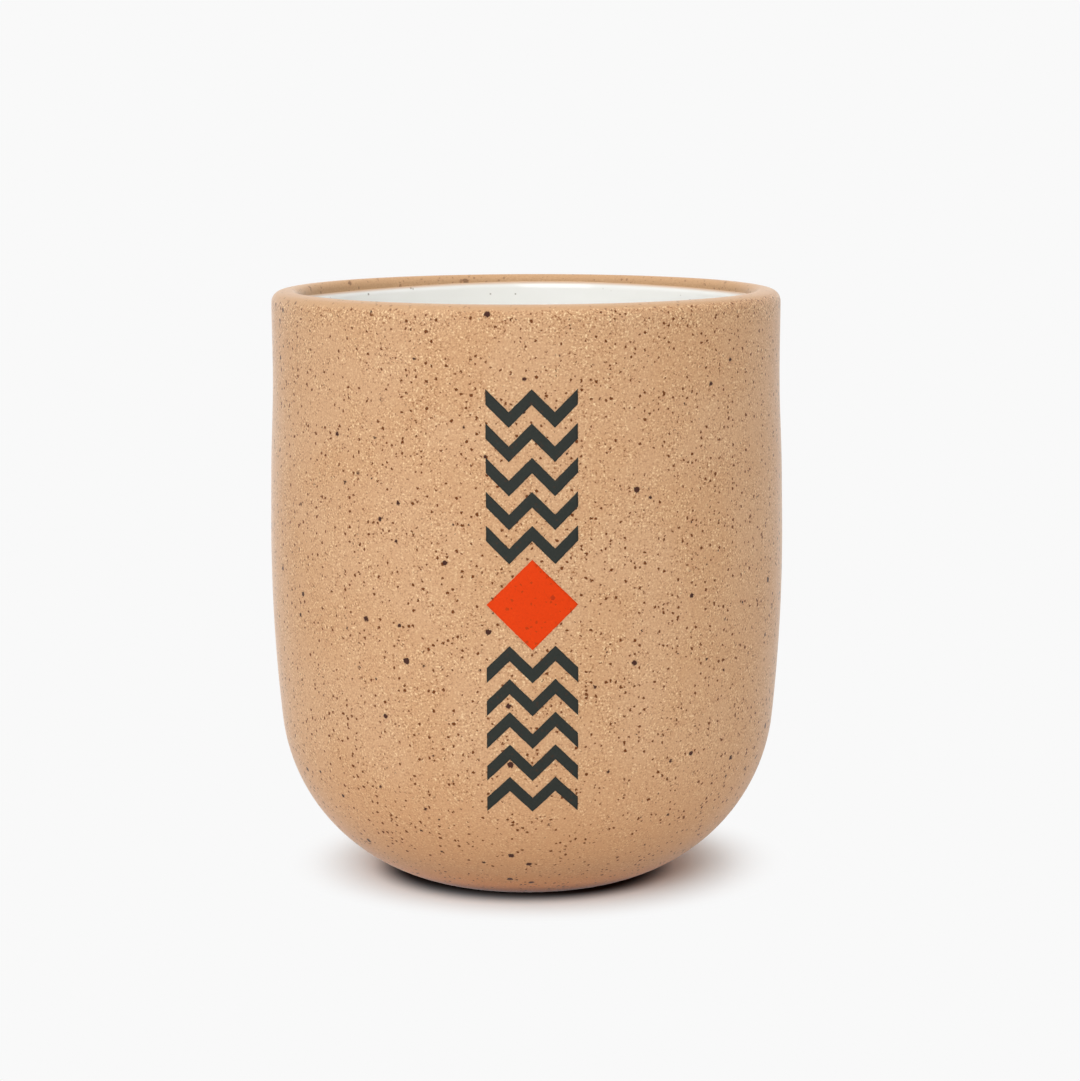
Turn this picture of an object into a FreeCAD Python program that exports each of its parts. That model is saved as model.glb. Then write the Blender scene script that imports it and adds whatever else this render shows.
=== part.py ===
import FreeCAD, Part
import math
import os
from enum import IntEnum

import Sketcher

# A handleless stoneware tumbler, in millimetres.
# The clay is one turned form: a small recessed foot, a round heel, a long bow out to the belly, a wall
# that tapers a little towards the rim, and a soft lip whose crest lies near its inner edge. A white
# glaze lines the inside and stops just under the lip. A column of fired enamel print, with a lozenge
# between two sets of zigzag lines, runs up the front, which is the -Y side. The axis of the cup is Z
# and the foot stands on Z = 0.

# Driving sizes. Each one goes into a cell of the sheet under the same name.
SIZES = {
    # the outer form
    "rim_height": 102.0,
    "belly_radius": 44.5,
    "belly_height": 58.0,
    "bow_radius": 292.0,
    "heel_radius": 32.5,
    "rim_draw": 0.64,
    # the turned foot
    "foot_radius": 20.0,
    "foot_land_width": 4.5,
    "foot_recess_depth": 0.8,
    "foot_recess_bevel": 1.0,
    # the hollow and the lip
    "wall_thickness": 5.1,
    "floor_height": 6.5,
    "hollow_corner_radius": 26.0,
    "lip_outer_round": 1.9,
    "lip_crown_round": 7.0,
    "lip_inner_bevel": 0.9,
    # the glaze lining
    "glaze_thickness": 0.4,
    "glaze_line_drop": 1.5,
    "glaze_feather": 0.8,
    # the printed column
    "print_clearance": 0.02,
    "print_film": 0.1,
    "print_width": 14.8,
    "print_foot_margin": 19.0,
    "print_rim_margin": 13.3,
    "lozenge_height": 14.8,
    "zigzag_rise": 3.7,
    "zigzag_stroke": 2.5,
    # how far the cutting outline of a print reaches past the belly
    "cut_overrun": 5.0,
}

# The round corner of the hollow is turned in this many flats, which keeps its facets few.
HOLLOW_FLATS = 4
# Zigzag lines above the lozenge, and as many below it.
ZIGZAGS_A_SIDE = 5
# Straight strokes in one zigzag line.
ZIGZAG_STROKES = 4

# Formulas of the sheet's cells that more than one outline uses.
BOW_CENTRE_INSET = "(Sizes.bow_radius - Sizes.belly_radius)"
RIM_RADIUS = "(Sizes.belly_radius - Sizes.rim_draw)"
HOLLOW_RADIUS = "(Sizes.belly_radius - Sizes.wall_thickness)"
GLAZE_LINE = "(Sizes.rim_height - Sizes.glaze_line_drop)"
PRINT_HALF_HEIGHT = (
    "((Sizes.rim_height - Sizes.print_rim_margin - Sizes.print_foot_margin) / 2)"
)
PRINT_CENTRE = f"(Sizes.print_foot_margin + {PRINT_HALF_HEIGHT})"
ZIGZAG_PITCH = f"(({PRINT_HALF_HEIGHT} - Sizes.lozenge_height / 2) / {ZIGZAGS_A_SIDE})"

# The points of a sketched edge, which a sketch numbers in this order from 1.
START, END, CENTRE = IntEnum("EdgePoint", "START END CENTRE")
ORIGIN = (-1, START)
X_AXIS, Y_AXIS = -1, -2
ORIGIN_POINT = FreeCAD.Vector(0, 0, 0)
AXIS_DIRECTION = FreeCAD.Vector(0, 0, 1)
# Stands a free sketch upright, with X across and Y up the cup.
UPRIGHT = FreeCAD.Placement(ORIGIN_POINT, FreeCAD.Rotation(FreeCAD.Vector(1, 0, 0), 90))

doc = FreeCAD.newDocument("Tumbler")
sheet = doc.addObject("Spreadsheet::Sheet", "Sizes")
for row, (alias, number) in enumerate(SIZES.items(), start=1):
    sheet.set(f"A{row}", alias)
    sheet.set(f"B{row}", str(number))
    sheet.setAlias(f"B{row}", alias)
doc.recompute()


def cell(alias):
    """The number that the sheet holds under this name."""
    return float(sheet.get(alias))


def formula(text):
    """The value of a formula of the sheet's cells, such as the ones above."""
    return float(sheet.evalExpression(text))


def arc(centre, radius, first, last):
    """An arc in sketch coordinates, turning left from the first angle to the last."""
    circle = Part.Circle(FreeCAD.Vector(*centre, 0), AXIS_DIRECTION, radius)
    return Part.ArcOfCircle(circle, first, last)


def line(start, end):
    """A straight edge in sketch coordinates."""
    return Part.LineSegment(FreeCAD.Vector(*start, 0), FreeCAD.Vector(*end, 0))


def bearing(centre, point):
    """The angle at which a point is seen from a centre."""
    return math.atan2(point[1] - centre[1], point[0] - centre[0])


def on_circle(centre, radius, angle):
    """The point of a circle at an angle."""
    return (centre[0] + radius * math.cos(angle), centre[1] + radius * math.sin(angle))


class Outline:
    """A closed profile in a sketch, whose sizes are bound to the sheet."""

    def __init__(self, sketch):
        self.sketch = sketch
        self.bound = 0

    def add(self, geometry, construction=False):
        """Adds an edge or a point, and gives its number in the sketch."""
        return self.sketch.addGeometry(geometry, construction)

    def tie(self, kind, *where):
        """Adds a constraint without a size."""
        self.sketch.addConstraint(Sketcher.Constraint(kind, *where))

    def join(self, *joints):
        """Joins edges at their ends: each joint is a kind of constraint and the two ends."""
        for kind, first, first_end, second, second_end in joints:
            self.tie(kind, first, first_end, second, second_end)

    def bind(self, kind, expression, *where):
        """Adds a size that follows a formula of the sheet's cells."""
        constraint = Sketcher.Constraint(kind, *where, formula(expression))
        index = self.sketch.addConstraint(constraint)
        self.bound += 1
        self.sketch.renameConstraint(index, f"size_{self.bound}")
        self.sketch.setExpression(f"Constraints.size_{self.bound}", expression)

    def place(self, geometry, point, across, up):
        """Holds a point at formulas for its distance from the axis and its height."""
        self.bind("DistanceX", across, *ORIGIN, geometry, point)
        self.bind("DistanceY", up, *ORIGIN, geometry, point)


class OuterFace:
    """The line of the outer face from the foot to the rim, or of a skin that lies proud of it.

    The heel arc starts at the foot and runs into the bow, whose centre is level with the belly. The
    bow runs into a straight wall, which aims at the rim's radius at the rim's height.
    """

    def __init__(self, outline, proud="0"):
        self.outline = outline
        self.proud = proud
        extra = formula(proud)
        aim = (formula(RIM_RADIUS), cell("rim_height"))
        bow_centre = (-formula(BOW_CENTRE_INSET), cell("belly_height"))
        bow_radius = cell("bow_radius") + extra
        heel_centre = self.find_heel_centre(bow_centre)
        heel_radius = cell("heel_radius") + extra
        foot_angle = -math.asin(heel_centre[1] / heel_radius)
        heel_end = bearing(bow_centre, heel_centre)
        reach = math.dist(bow_centre, aim)
        bow_end = bearing(bow_centre, aim) - math.acos(cell("bow_radius") / reach)
        top = (aim[0] + extra / math.cos(bow_end), aim[1])
        self.heel = outline.add(arc(heel_centre, heel_radius, foot_angle, heel_end))
        self.bow = outline.add(arc(bow_centre, bow_radius, heel_end, bow_end))
        self.wall = outline.add(line(on_circle(bow_centre, bow_radius, bow_end), top))
        self.foot = on_circle(heel_centre, heel_radius, foot_angle)
        self.top = top

    @staticmethod
    def find_heel_centre(bow_centre):
        """Centre of the heel arc, which starts at the foot's edge and runs smoothly into the bow."""
        radius = cell("heel_radius")
        foot = (cell("foot_radius"), 0.0)
        reach = cell("bow_radius") - radius
        apart = math.dist(foot, bow_centre)
        along = (reach**2 - radius**2 + apart**2) / (2 * apart)
        aside = math.sqrt(reach**2 - along**2)
        turn = bearing(bow_centre, foot)
        return on_circle(on_circle(bow_centre, along, turn), aside, turn + math.pi / 2)

    def bind_run(self):
        """Joins the three edges smoothly and binds the radii and the bow's centre."""
        outline = self.outline
        outline.join(
            ("Tangent", self.heel, END, self.bow, START),
            ("Tangent", self.bow, END, self.wall, START),
        )
        outline.bind("Radius", f"Sizes.heel_radius + {self.proud}", self.heel)
        outline.bind("Radius", f"Sizes.bow_radius + {self.proud}", self.bow)
        outline.bind("DistanceX", BOW_CENTRE_INSET, self.bow, CENTRE, *ORIGIN)
        outline.bind("DistanceY", "Sizes.belly_height", *ORIGIN, self.bow, CENTRE)

    def add_aim(self):
        """Adds the point that the clay's own wall aims at, and gives its number in the sketch."""
        place = FreeCAD.Vector(formula(RIM_RADIUS), cell("rim_height"), 0)
        aim = self.outline.add(Part.Point(place), construction=True)
        self.outline.place(aim, START, RIM_RADIUS, "Sizes.rim_height")
        return aim

    def bind_proud(self):
        """Holds the skin's heel round the clay's heel, and its wall proud of the clay's wall."""
        outline = self.outline
        edge = outline.add(Part.Point(FreeCAD.Vector(cell("foot_radius"), 0, 0)), construction=True)
        outline.tie("PointOnObject", edge, START, X_AXIS)
        outline.bind("DistanceX", "Sizes.foot_radius", *ORIGIN, edge, START)
        outline.bind("Distance", "Sizes.heel_radius", edge, START, self.heel, CENTRE)
        outline.bind("Distance", self.proud, self.add_aim(), START, self.wall)


def body_sketch(body, name):
    """A sketch on the body's own upright plane, with X across and Y up the cup."""
    sketch = body.newObject("Sketcher::SketchObject", name)
    planes = [item for item in body.Origin.OriginFeatures if item.Role == "XZ_Plane"]
    sketch.AttachmentSupport = (planes[0], [""])
    sketch.MapMode = "FlatFace"
    return sketch


def new_body(label):
    """An empty body that carries the name of its sub-part."""
    body = doc.addObject("PartDesign::Body", label)
    body.Label = label
    return body


def turn(body, sketch, name):
    """Turns the sketch once round the cup's axis."""
    revolution = body.newObject("PartDesign::Revolution", name)
    revolution.Profile = sketch
    revolution.ReferenceAxis = (sketch, ["V_Axis"])
    revolution.Angle = 360


def draw_foot(outline, heel):
    """The ring that the cup stands on and the shallow recess inside it. Gives the recess's edge."""
    outer = cell("foot_radius")
    inner = outer - cell("foot_land_width")
    depth = cell("foot_recess_depth")
    corner = inner - cell("foot_recess_bevel")
    land = outline.add(line((inner, 0.0), (outer, 0.0)))
    bevel = outline.add(line((corner, depth), (inner, 0.0)))
    recess = outline.add(line((0.0, depth), (corner, depth)))
    outline.join(
        ("Coincident", recess, END, bevel, START),
        ("Coincident", bevel, END, land, START),
        ("Coincident", land, END, heel, START),
    )
    outline.tie("Horizontal", recess)
    outline.tie("Horizontal", land)
    outline.tie("PointOnObject", land, END, X_AXIS)
    outline.bind("DistanceX", "Sizes.foot_radius", *ORIGIN, land, END)
    outline.bind("DistanceX", "Sizes.foot_land_width", land, START, land, END)
    outline.bind("DistanceX", "Sizes.foot_recess_bevel", bevel, START, bevel, END)
    outline.bind("DistanceY", "Sizes.foot_recess_depth", *ORIGIN, recess, START)
    return recess


def draw_hollow(outline, top, inset="0"):
    """The hollow's wall, corner and floor, or those of the glaze that lies `inset` inside it.

    `top` is the formula of the height where the wall starts. Gives the wall's edge and the floor's.
    """
    radius = f"(Sizes.hollow_corner_radius - {inset})"
    centre_across = f"({HOLLOW_RADIUS} - Sizes.hollow_corner_radius)"
    centre_up = "(Sizes.floor_height + Sizes.hollow_corner_radius)"
    corners = [(f"{HOLLOW_RADIUS} - {inset}", top)]
    for flat in range(HOLLOW_FLATS + 1):
        angle = math.pi / 2 * flat / HOLLOW_FLATS
        corners.append((
            f"{centre_across} + {radius} * {math.cos(angle)}",
            f"{centre_up} - {radius} * {math.sin(angle)}",
        ))
    places = [(formula(across), formula(up)) for across, up in corners]
    edges = [outline.add(line(start, end)) for start, end in zip(places, places[1:])]
    floor = outline.add(line(places[-1], (0.0, places[-1][1])))
    for edge, corner in zip(edges, corners):
        outline.place(edge, START, *corner)
    outline.place(floor, START, *corners[-1])
    for edge, following in zip(edges, edges[1:] + [floor]):
        outline.join(("Coincident", edge, END, following, START))
    outline.tie("Horizontal", floor)
    return edges[0], floor


def draw_lip(outline, wall, wall_top, hollow_wall):
    """The lip: a round outer corner, a gentle crown up to the crest, and a bevel to the hollow."""
    height = cell("rim_height")
    corner = cell("lip_outer_round")
    crown = cell("lip_crown_round")
    bevel = cell("lip_inner_bevel")
    inside = formula(HOLLOW_RADIUS)
    crest = inside + bevel
    crown_centre = (crest, height - crown)
    across = wall_top[0] - corner - crest
    corner_height = crown_centre[1] + math.sqrt((crown - corner) ** 2 - across**2)
    corner_centre = (wall_top[0] - corner, corner_height)
    meeting = bearing(crown_centre, corner_centre)
    corner_arc = outline.add(arc(corner_centre, corner, 0, meeting))
    crown_arc = outline.add(arc(crown_centre, crown, meeting, math.pi / 2))
    bevel_line = outline.add(line((crest, height), (inside, height - bevel)))
    outline.join(
        ("Tangent", wall, END, corner_arc, START),
        ("Tangent", corner_arc, END, crown_arc, START),
        ("Coincident", crown_arc, END, bevel_line, START),
        ("Coincident", bevel_line, END, hollow_wall, START),
    )
    outline.tie("Vertical", crown_arc, CENTRE, crown_arc, END)
    outline.bind("Radius", "Sizes.lip_outer_round", corner_arc)
    outline.bind("Radius", "Sizes.lip_crown_round", crown_arc)
    outline.place(crown_arc, END, f"{HOLLOW_RADIUS} + Sizes.lip_inner_bevel", "Sizes.rim_height")


def close_on_axis(outline, low, low_end, high):
    """The edge on the cup's axis, between the ends of the lowest line and of the highest one."""
    start = outline.sketch.getPoint(low, low_end)
    end = outline.sketch.getPoint(high, END)
    axis = outline.add(line((0.0, start.y), (0.0, end.y)))
    outline.join(
        ("Coincident", axis, START, low, low_end),
        ("Coincident", axis, END, high, END),
    )
    outline.tie("PointOnObject", low, low_end, Y_AXIS)
    outline.tie("PointOnObject", high, END, Y_AXIS)


def make_stoneware_body():
    """The thrown and turned clay, from its foot to its lip, in one revolution."""
    body = new_body("stoneware_body")
    outline = Outline(body_sketch(body, "wall_section"))
    face = OuterFace(outline)
    face.bind_run()
    outline.tie("PointOnObject", face.add_aim(), START, face.wall)
    recess = draw_foot(outline, face.heel)
    hollow_top = "Sizes.rim_height - Sizes.lip_inner_bevel"
    hollow_wall, floor = draw_hollow(outline, hollow_top)
    draw_lip(outline, face.wall, face.top, hollow_wall)
    close_on_axis(outline, recess, START, floor)
    turn(body, outline.sketch, "turned_wall")
    return body


def make_interior_glaze():
    """The glass lining on the hollow's whole wall and floor, feathered out under the lip."""
    body = new_body("interior_glaze")
    outline = Outline(body_sketch(body, "glaze_section"))
    seat_wall, seat_floor = draw_hollow(outline, GLAZE_LINE)
    face_top = f"{GLAZE_LINE} - Sizes.glaze_feather"
    face_wall, face_floor = draw_hollow(outline, face_top, "Sizes.glaze_thickness")
    ends = [outline.sketch.getPoint(edge, START) for edge in (seat_wall, face_wall)]
    feather = outline.add(Part.LineSegment(*ends))
    outline.join(
        ("Coincident", seat_wall, START, feather, START),
        ("Coincident", feather, END, face_wall, START),
    )
    close_on_axis(outline, seat_floor, END, face_floor)
    turn(body, outline.sketch, "turned_glaze")
    return body


def make_print_skin():
    """A thin skin on the whole outer face, from which the printed shapes are taken."""
    sketch = doc.addObject("Sketcher::SketchObject", "print_skin_section")
    sketch.Placement = UPRIGHT
    outline = Outline(sketch)
    seat = OuterFace(outline, "Sizes.print_clearance")
    face = OuterFace(outline, "(Sizes.print_clearance + Sizes.print_film)")
    for side in (seat, face):
        side.bind_run()
        side.bind_proud()
    top = outline.add(line(seat.top, face.top))
    base = outline.add(line(face.foot, seat.foot))
    outline.join(
        ("Coincident", seat.wall, END, top, START),
        ("Coincident", top, END, face.wall, END),
        ("Coincident", face.heel, START, base, START),
        ("Coincident", base, END, seat.heel, START),
    )
    outline.tie("Horizontal", top)
    outline.tie("Horizontal", base)
    outline.tie("PointOnObject", base, END, X_AXIS)
    outline.bind("DistanceY", "Sizes.rim_height", *ORIGIN, seat.wall, END)
    skin = doc.addObject("Part::Revolution", "print_skin")
    skin.Source = sketch
    skin.Axis = AXIS_DIRECTION
    skin.Angle = 360
    skin.Solid = True
    return skin


def lozenge_corners():
    """The lozenge's corners, as formulas for their places across and up."""
    shares = [(-1 / 2, 0), (0, -1 / 2), (1 / 2, 0), (0, 1 / 2)]
    return [
        (f"{across} * Sizes.print_width", f"{up} * Sizes.lozenge_height")
        for across, up in shares
    ]


def zigzag_corners():
    """One zigzag line's corners, as formulas for their places across and up.

    The line has a peak in the middle, at height zero. Its lower edge runs from left to right, and
    its upper edge, one stroke higher at height zero, runs back.
    """
    steps = list(range(ZIGZAG_STROKES + 1))
    edges = [(step, 1) for step in steps] + [(step, 0) for step in reversed(steps)]
    return [
        (
            f"{step / ZIGZAG_STROKES - 1 / 2} * Sizes.print_width",
            f"0 - {step % 2} * Sizes.zigzag_rise - {lower} * Sizes.zigzag_stroke",
        )
        for step, lower in edges
    ]


def print_sketch(name, corners):
    """A closed outline of straight edges through corners given as formulas."""
    sketch = doc.addObject("Sketcher::SketchObject", name)
    sketch.Placement = UPRIGHT
    outline = Outline(sketch)
    places = [(formula(across), formula(up)) for across, up in corners]
    edges = [
        outline.add(line(start, end)) for start, end in zip(places, places[1:] + places[:1])
    ]
    for edge, following, corner in zip(edges, edges[1:] + edges[:1], corners):
        outline.join(("Coincident", edge, END, following, START))
        outline.place(edge, START, *corner)
    return sketch


def make_print(label, sketch, skin, height, turned=False):
    """One printed shape: the part of the skin that lies in front of the sketched outline."""
    prism = doc.addObject("Part::Extrusion", f"{label}_outline")
    prism.Base = sketch
    prism.DirMode = "Custom"
    prism.Dir = FreeCAD.Vector(0, -1, 0)
    prism.Solid = True
    prism.setExpression("LengthFwd", "Sizes.belly_radius + Sizes.cut_overrun")
    half_turn = FreeCAD.Rotation(FreeCAD.Vector(0, 1, 0), 180 if turned else 0)
    prism.Placement = FreeCAD.Placement(ORIGIN_POINT, half_turn)
    prism.setExpression("Placement.Base.z", height)
    shape = doc.addObject("Part::Common", label)
    shape.Label = label
    shape.Base = skin
    shape.Tool = prism
    return shape


def make_prints():
    """The printed column: a lozenge, with zigzag lines above it and, turned over, below it."""
    skin = make_print_skin()
    lozenge = print_sketch("lozenge_shape", lozenge_corners())
    zigzag = print_sketch("zigzag_shape", zigzag_corners())
    prints = [make_print("lozenge_print", lozenge, skin, PRINT_CENTRE)]
    for side, sign, turned in (("upper", "+", False), ("lower", "-", True)):
        for number in range(1, ZIGZAGS_A_SIDE + 1):
            rise = f"(Sizes.lozenge_height / 2 + {number} * {ZIGZAG_PITCH})"
            height = f"{PRINT_CENTRE} {sign} {rise}"
            label = f"{side}_zigzag_print_{number}"
            prints.append(make_print(label, zigzag, skin, height, turned))
    return prints


sub_parts = [make_stoneware_body(), make_interior_glaze(), *make_prints()]
doc.recompute()

for item in doc.Objects:
    if "Invalid" in item.State or "Error" in item.State:
        raise RuntimeError(f"{item.Label} is in state {item.State}")
    if item.isDerivedFrom("Sketcher::SketchObject") and item.solve() != 0:
        raise RuntimeError(f"the sketch {item.Label} doesn't solve")
for sub_part in sub_parts:
    shape = sub_part.Shape
    if shape.isNull() or not shape.isValid() or not shape.Solids:
        raise RuntimeError(f"{sub_part.Label} has no valid solid")

os.makedirs("parts", exist_ok=True)
for sub_part in sub_parts:
    shape = sub_part.Shape
    box = shape.BoundBox
    print(
        f"{sub_part.Label}: {len(shape.Solids)} solid, {shape.Volume:.2f} mm3,"
        f" z {box.ZMin:.2f} to {box.ZMax:.2f}"
    )
    shape.exportStep(os.path.join("parts", f"{sub_part.Label}.step"))
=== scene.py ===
"""A speckled stoneware tumbler with a white liner glaze and a printed column, in a pale studio.

Places and sizes are in millimetres and turn into metres as a mesh or a light is made.
"""

import logging
import math
from collections.abc import Iterable
from dataclasses import dataclass, field
from enum import Enum
from typing import Any, Union

import bmesh
import bpy
from mathutils import Matrix, Vector, noise

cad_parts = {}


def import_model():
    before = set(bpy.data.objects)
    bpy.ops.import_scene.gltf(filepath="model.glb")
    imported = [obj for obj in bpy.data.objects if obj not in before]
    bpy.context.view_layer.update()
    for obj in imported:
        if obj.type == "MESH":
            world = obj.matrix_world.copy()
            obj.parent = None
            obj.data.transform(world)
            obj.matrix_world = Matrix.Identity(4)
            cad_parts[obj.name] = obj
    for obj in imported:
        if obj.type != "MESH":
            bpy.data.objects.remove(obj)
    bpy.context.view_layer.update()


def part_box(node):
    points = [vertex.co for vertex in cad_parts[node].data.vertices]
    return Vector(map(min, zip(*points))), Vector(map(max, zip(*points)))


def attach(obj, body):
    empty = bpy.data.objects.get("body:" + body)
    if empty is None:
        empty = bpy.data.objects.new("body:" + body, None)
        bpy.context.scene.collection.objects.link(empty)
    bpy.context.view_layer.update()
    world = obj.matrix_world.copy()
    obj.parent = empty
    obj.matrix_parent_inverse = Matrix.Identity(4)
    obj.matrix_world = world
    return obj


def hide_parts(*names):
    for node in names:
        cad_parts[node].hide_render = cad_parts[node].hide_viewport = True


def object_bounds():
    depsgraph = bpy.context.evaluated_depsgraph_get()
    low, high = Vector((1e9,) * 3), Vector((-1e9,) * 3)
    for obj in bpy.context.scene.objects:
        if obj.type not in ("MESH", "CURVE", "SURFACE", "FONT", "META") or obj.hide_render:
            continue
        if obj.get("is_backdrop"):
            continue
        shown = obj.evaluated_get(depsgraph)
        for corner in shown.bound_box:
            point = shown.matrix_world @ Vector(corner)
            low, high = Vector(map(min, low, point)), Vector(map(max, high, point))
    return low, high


MM = 0.001
BODY = "root"
COVER = "glaze_cover"
WELD = 0.001
SRGB_KNEE = 0.04045
SRGB_SLOPE = 12.92
SRGB_LIFT = 0.055
SRGB_POWER = 2.4

Point = tuple[float, float]
Place = tuple[float, float, float]
Band = tuple[float, float]
Socket = bpy.types.NodeSocket
Source = Union[bpy.types.NodeSocket, bpy.types.Node, float]
Colour = Union[bpy.types.NodeSocket, str]
log = logging.getLogger("tumbler")


class Slot(Enum):
    """The record's material slots."""

    CLAY = "speckled_stoneware"
    GLAZE = "white_glaze"
    ORANGE = "orange_enamel_print"
    CHARCOAL = "charcoal_enamel_print"


class MixSocket(Enum):
    """Where a colour mix keeps its share and colours as inputs, and its result as an output."""

    SHARE = 0
    FIRST = 6
    SECOND = 7
    RESULT = 2


def linear(hex_colour: str) -> tuple[float, float, float, float]:
    """Turns an sRGB hex colour into the linear colour that a shader takes.

    Args:
        hex_colour: six hex digits after a hash.

    Returns:
        Red, green and blue in linear light, and an alpha of 1.
    """
    parts = [int(hex_colour[i : i + 2], 16) / 255 for i in (1, 3, 5)]
    red, green, blue = (
        part / SRGB_SLOPE if part <= SRGB_KNEE
        else ((part + SRGB_LIFT) / (1 + SRGB_LIFT)) ** SRGB_POWER
        for part in parts
    )
    return red, green, blue, 1.0


def add_node(
    tree: bpy.types.NodeTree, kind: str, inputs: dict[Any, Any] | None = None, **settings: Any
) -> bpy.types.Node:
    """Adds a node with its settings and links.

    Args:
        tree: the node tree.
        kind: the node's type, without the prefix that all shader nodes share.
        inputs: an input's name or number, and the value or the socket that it takes. A node there
            stands for its first output.
        **settings: the node's own properties.

    Returns:
        The node.
    """
    node = tree.nodes.new(f"ShaderNode{kind}")
    for name, value in settings.items():
        setattr(node, name, value)
    for key, value in (inputs or {}).items():
        source = value.outputs[0] if isinstance(value, bpy.types.Node) else value
        if isinstance(source, Socket):
            tree.links.new(source, node.inputs[key])
        else:
            node.inputs[key].default_value = source
    return node


def lay_tone(
    tree: bpy.types.NodeTree, under: Colour, tone: str, mask: Source, cover: Source = 1.0
) -> Socket:
    """Lays a tone over a colour, as a stain or a grain lies on a surface.

    Args:
        tree: the node tree.
        under: the colour so far, a socket or a hex colour.
        tone: the hex colour that goes over it.
        mask: where the tone lies.
        cover: how well it hides the colour there.

    Returns:
        The new colour's socket.
    """
    share = add_node(tree, "Math", {0: mask, 1: cover}, operation="MULTIPLY")
    inputs = {
        MixSocket.SHARE.value: share,
        MixSocket.FIRST.value: linear(under) if isinstance(under, str) else under,
        MixSocket.SECOND.value: linear(tone),
    }
    return add_node(tree, "Mix", inputs, data_type="RGBA").outputs[MixSocket.RESULT.value]


def per_metre(spacing: float) -> float:
    """The scale, on coordinates in metres, of a pattern with this spacing in millimetres."""
    return 1 / (spacing * MM)


def new_material(name: str) -> tuple[bpy.types.Material, bpy.types.NodeTree]:
    """Makes an empty node material.

    Args:
        name: the material's name.

    Returns:
        The material and its node tree.
    """
    material = bpy.data.materials.new(name)
    material.use_nodes = True
    material.node_tree.nodes.clear()
    return material, material.node_tree


def finish_surface(tree: bpy.types.NodeTree, inputs: dict[str, Any]) -> None:
    """Ends a material with one Principled shader.

    Args:
        tree: the material's node tree.
        inputs: the shader's inputs, as nodes, sockets or values.
    """
    shader = add_node(tree, "BsdfPrincipled", inputs)
    add_node(tree, "OutputMaterial", {"Surface": shader})


@dataclass(frozen=True)
class Clouds:
    """A soft, uneven tone: its clouds' size in millimetres, its finer layers and its limits."""

    grain: float
    detail: float
    limits: Band

    def mask(self, tree: bpy.types.NodeTree, point: Socket) -> Socket:
        """Where the tone lies.

        Args:
            tree: the node tree.
            point: where the pattern is read.

        Returns:
            A share from 0 to 1.
        """
        inputs = {"Vector": point, "Scale": per_metre(self.grain), "Detail": self.detail}
        inputs = {0: add_node(tree, "TexNoise", inputs), 1: self.limits[0], 2: self.limits[1]}
        return add_node(tree, "MapRange", inputs, interpolation_type="SMOOTHSTEP").outputs[0]


@dataclass(frozen=True)
class Grains:
    """One kind of mineral grain that is scattered through the clay body or the glaze.

    The grains are balls in space, so the surface cuts them at any height and shows small and large
    ones. Sizes are in millimetres. The share is how many places hold a grain, the edge is how far
    its rim fades, and the rarity is how much scarcer large grains are than small ones.
    """

    spacing: float
    smallest: float
    largest: float
    share: float
    edge: float
    colour: str
    rarity: float = 2.0

    def mask(self, tree: bpy.types.NodeTree, point: Socket) -> Socket:
        """Where the grains show.

        Args:
            tree: the node tree.
            point: where the pattern is read.

        Returns:
            A share that is 1 inside a grain.
        """
        inputs = {"Vector": point, "Scale": per_metre(self.spacing)}
        cells = add_node(tree, "TexVoronoi", inputs)
        chance = add_node(tree, "SeparateColor", {0: cells.outputs["Color"]})
        size = add_node(tree, "Math", {0: chance, 1: self.rarity}, operation="POWER")
        span = (self.largest - self.smallest) / self.spacing
        inputs = {0: size, 1: span, 2: self.smallest / self.spacing}
        radius = add_node(tree, "Math", inputs, operation="MULTIPLY_ADD")
        inputs = {0: radius, 1: cells.outputs["Distance"]}
        depth = add_node(tree, "Math", inputs, operation="SUBTRACT")
        inputs = {0: depth, 1: self.spacing / self.edge}
        inside = add_node(tree, "Math", inputs, operation="MULTIPLY", use_clamp=True)
        inputs = {0: chance.outputs[1], 1: self.share}
        present = add_node(tree, "Math", inputs, operation="LESS_THAN")
        shown = add_node(tree, "Math", {0: inside, 1: present}, operation="MULTIPLY")
        return shown.outputs[0]


@dataclass(frozen=True)
class ClayPattern:
    """What the clay body holds: pale quartz grains, iron specks, larger iron spots and their halos.

    The wobble shifts the pattern by noise of its own grain, in millimetres.
    """

    cream: Grains = Grains(0.80, 0.08, 0.26, 0.75, 0.12, "#f6dcb4")
    specks: Grains = Grains(0.80, 0.08, 0.34, 0.84, 0.09, "#6a3306")
    spots: Grains = Grains(3.4, 0.20, 0.62, 0.62, 0.10, "#3c1a12")
    halo: Grains = Grains(3.4, 0.40, 0.90, 0.62, 0.45, "#a06a41")
    wobble_grain: float = 0.34
    wobble_reach: float = 0.6
    wobble_middle: Place = (0.5, 0.5, 0.5)

    def uneven_point(self, tree: bpy.types.NodeTree) -> Socket:
        """The place, shifted a little by noise, so that no grain is perfectly round.

        Args:
            tree: the node tree.

        Returns:
            The shifted place, in metres.
        """
        point = add_node(tree, "TexCoord").outputs["Object"]
        inputs = {"Vector": point, "Scale": per_metre(self.wobble_grain)}
        cloud = add_node(tree, "TexNoise", inputs).outputs["Color"]
        inputs = {0: cloud, 1: self.wobble_middle}
        centred = add_node(tree, "VectorMath", inputs, operation="SUBTRACT")
        inputs = {0: centred, "Scale": self.wobble_reach * MM}
        shift = add_node(tree, "VectorMath", inputs, operation="SCALE")
        return add_node(tree, "VectorMath", {0: point, 1: shift}, operation="ADD").outputs[0]


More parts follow.
